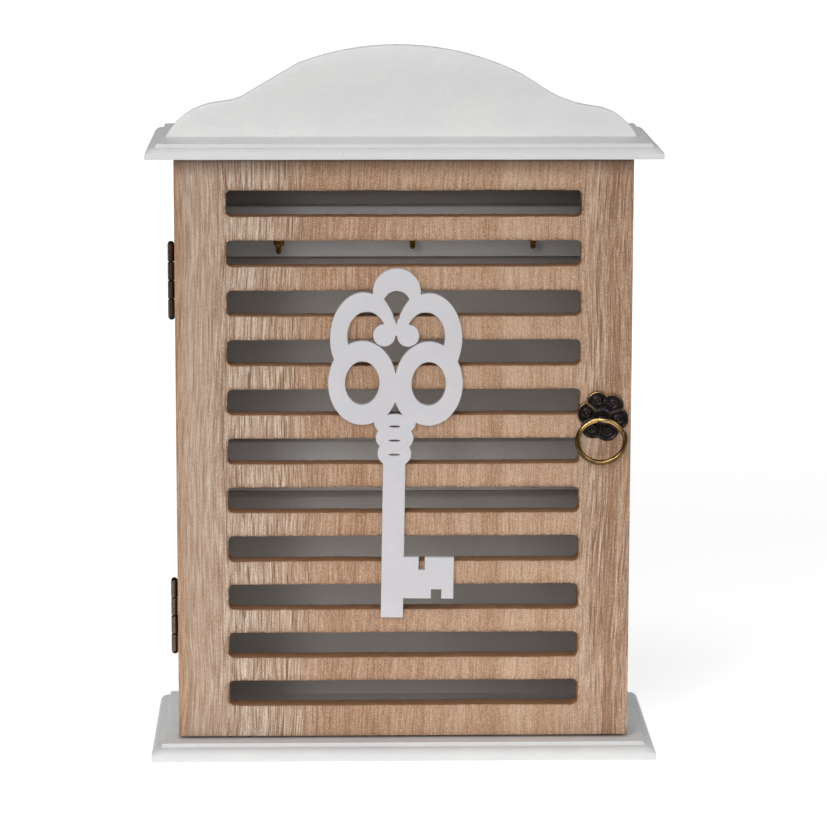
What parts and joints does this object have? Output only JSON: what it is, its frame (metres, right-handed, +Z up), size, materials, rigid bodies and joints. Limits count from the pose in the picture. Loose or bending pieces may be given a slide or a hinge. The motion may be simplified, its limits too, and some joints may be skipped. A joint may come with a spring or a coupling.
{
  "type": "key cabinet",
  "caption": "Wall key cabinet with a slatted wooden door, a key ornament, a ring pull, moulded white boards, a curved crest and brass hooks inside.",
  "frame": {"origin": "centre of the base board's underside", "axes": "+X to the viewer's right, +Y towards the wall, +Z up; the door faces -Y"},
  "size_m": [0.2046, 0.088, 0.2873],
  "materials": {
    "white_paint": "satin white paint on fibreboard",
    "ornament_paint": "satin white paint on thin fibreboard",
    "back_board": "matt white paint on hardboard",
    "veneer": "pale open-grained veneer, matt",
    "beech": "plain beech",
    "hook_brass": "bright brass",
    "ring_bronze": "antique brass, worn bright",
    "antique_bronze": "dark antique bronze",
    "zinc_steel": "zinc plated",
    "magnet": "dull nickel"
  },
  "bodies": {
    "cabinet": {"base_board": "white_paint", "top_board": "white_paint", "crest_board": "white_paint", "side_panel_left": "white_paint", "side_panel_right": "white_paint", "back_panel": "back_board", "upper_hook_rail": "white_paint", "lower_hook_rail": "white_paint", "base_screws": "zinc_steel", "crest_screws": "zinc_steel", "rail_screws": "zinc_steel", "hanger_screws": "zinc_steel", "back_panel_pins": "zinc_steel", "top_dowels": "beech", "catch_magnet": "magnet", "hanger_plate_left": "zinc_steel", "hanger_plate_right": "zinc_steel", "hinge_frame_leaf_upper": "antique_bronze", "hinge_frame_leaf_lower": "antique_bronze", "hinge_pin_upper": "antique_bronze", "hinge_pin_lower": "antique_bronze", "hinge_frame_screws": "antique_bronze", "key_hook_upper_left": "hook_brass", "key_hook_upper_middle": "hook_brass", "key_hook_upper_right": "hook_brass", "key_hook_lower_left": "hook_brass", "key_hook_lower_middle": "hook_brass", "key_hook_lower_right": "hook_brass"},
    "door": {"door_panel": "veneer", "key_ornament": "ornament_paint", "strike_disc": "zinc_steel", "pull_eye": "antique_bronze", "pull_rosette": "antique_bronze", "pull_washer": "antique_bronze", "pull_nail": "antique_bronze", "hinge_door_leaf_upper": "antique_bronze", "hinge_door_leaf_lower": "antique_bronze", "hinge_door_screws": "antique_bronze"},
    "ring": {"pull_ring": "ring_bronze"}
  },
  "joints": [
    {"name": "door_hinge", "type": "hinge", "parent": "cabinet", "child": "door", "pos_m": [-0.093, -0.0227, 0.1252], "axis": [0, 0, -1], "range_deg": [0, 180]},
    {"name": "ring_swing", "type": "hinge", "parent": "door", "child": "ring", "pos_m": [0.0798, -0.0369, 0.1393], "axis": [-1, 0, 0], "range_deg": [-8, 170]}
  ]
}
